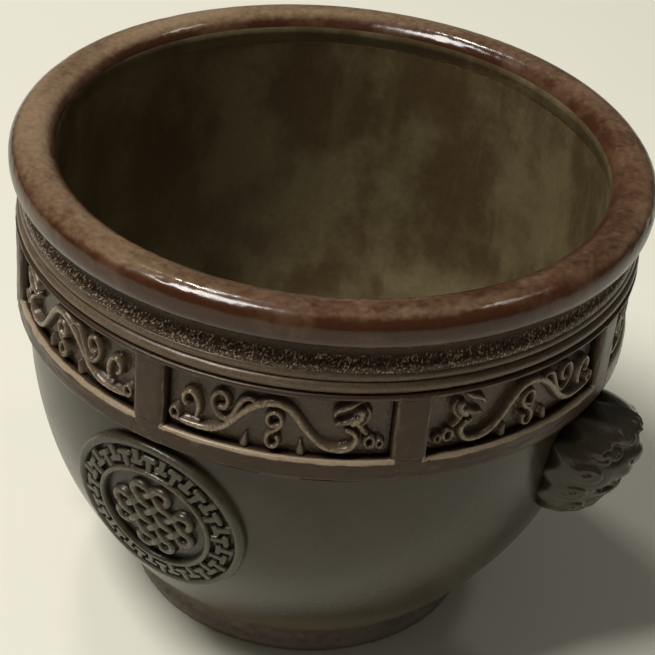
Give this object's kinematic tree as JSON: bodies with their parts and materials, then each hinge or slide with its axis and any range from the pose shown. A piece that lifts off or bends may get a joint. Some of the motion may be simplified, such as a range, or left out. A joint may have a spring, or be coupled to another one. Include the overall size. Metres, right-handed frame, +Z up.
{
  "type": "bronze treasure bowl",
  "caption": "Small round footed bowl of dark bronze with a thick rim, a frieze of scroll panels, round medallions and lion-mask lugs, for holding coins, rice or small things.",
  "frame": {"origin": "middle of the foot ring's underside, on the surface that the bowl stands on", "axes": "+Z up along the bowl's axis, +X towards one lion mask, -Y towards the front medallion"},
  "size_m": [0.1, 0.088, 0.0715],
  "materials": {
    "body_bronze": "dark brown patina, semi-gloss",
    "rim_bronze": "brown patina, worn bright on top",
    "frieze_bronze": "brown patina, satin",
    "relief_bronze": "brown patina, dark in the ground of the relief",
    "foot_bronze": "dark, dull patina"
  },
  "bodies": {
    "root": {"bowl_cup": "body_bronze", "foot_ring": "foot_bronze", "frieze_band": "frieze_bronze", "scroll_panel_1": "relief_bronze", "scroll_panel_2": "relief_bronze", "scroll_panel_3": "relief_bronze", "scroll_panel_4": "relief_bronze", "scroll_panel_5": "relief_bronze", "scroll_panel_6": "relief_bronze", "scroll_panel_7": "relief_bronze", "scroll_panel_8": "relief_bronze", "lower_bead": "frieze_bronze", "upper_bead": "frieze_bronze", "neck_collar": "frieze_bronze", "rim_ring": "rim_bronze", "medallion_border_front": "relief_bronze", "medallion_border_back": "relief_bronze", "medallion_emblem_front": "relief_bronze", "medallion_emblem_back": "relief_bronze", "lion_mask_right": "body_bronze", "lion_mask_left": "body_bronze"}
  },
  "joints": []
}
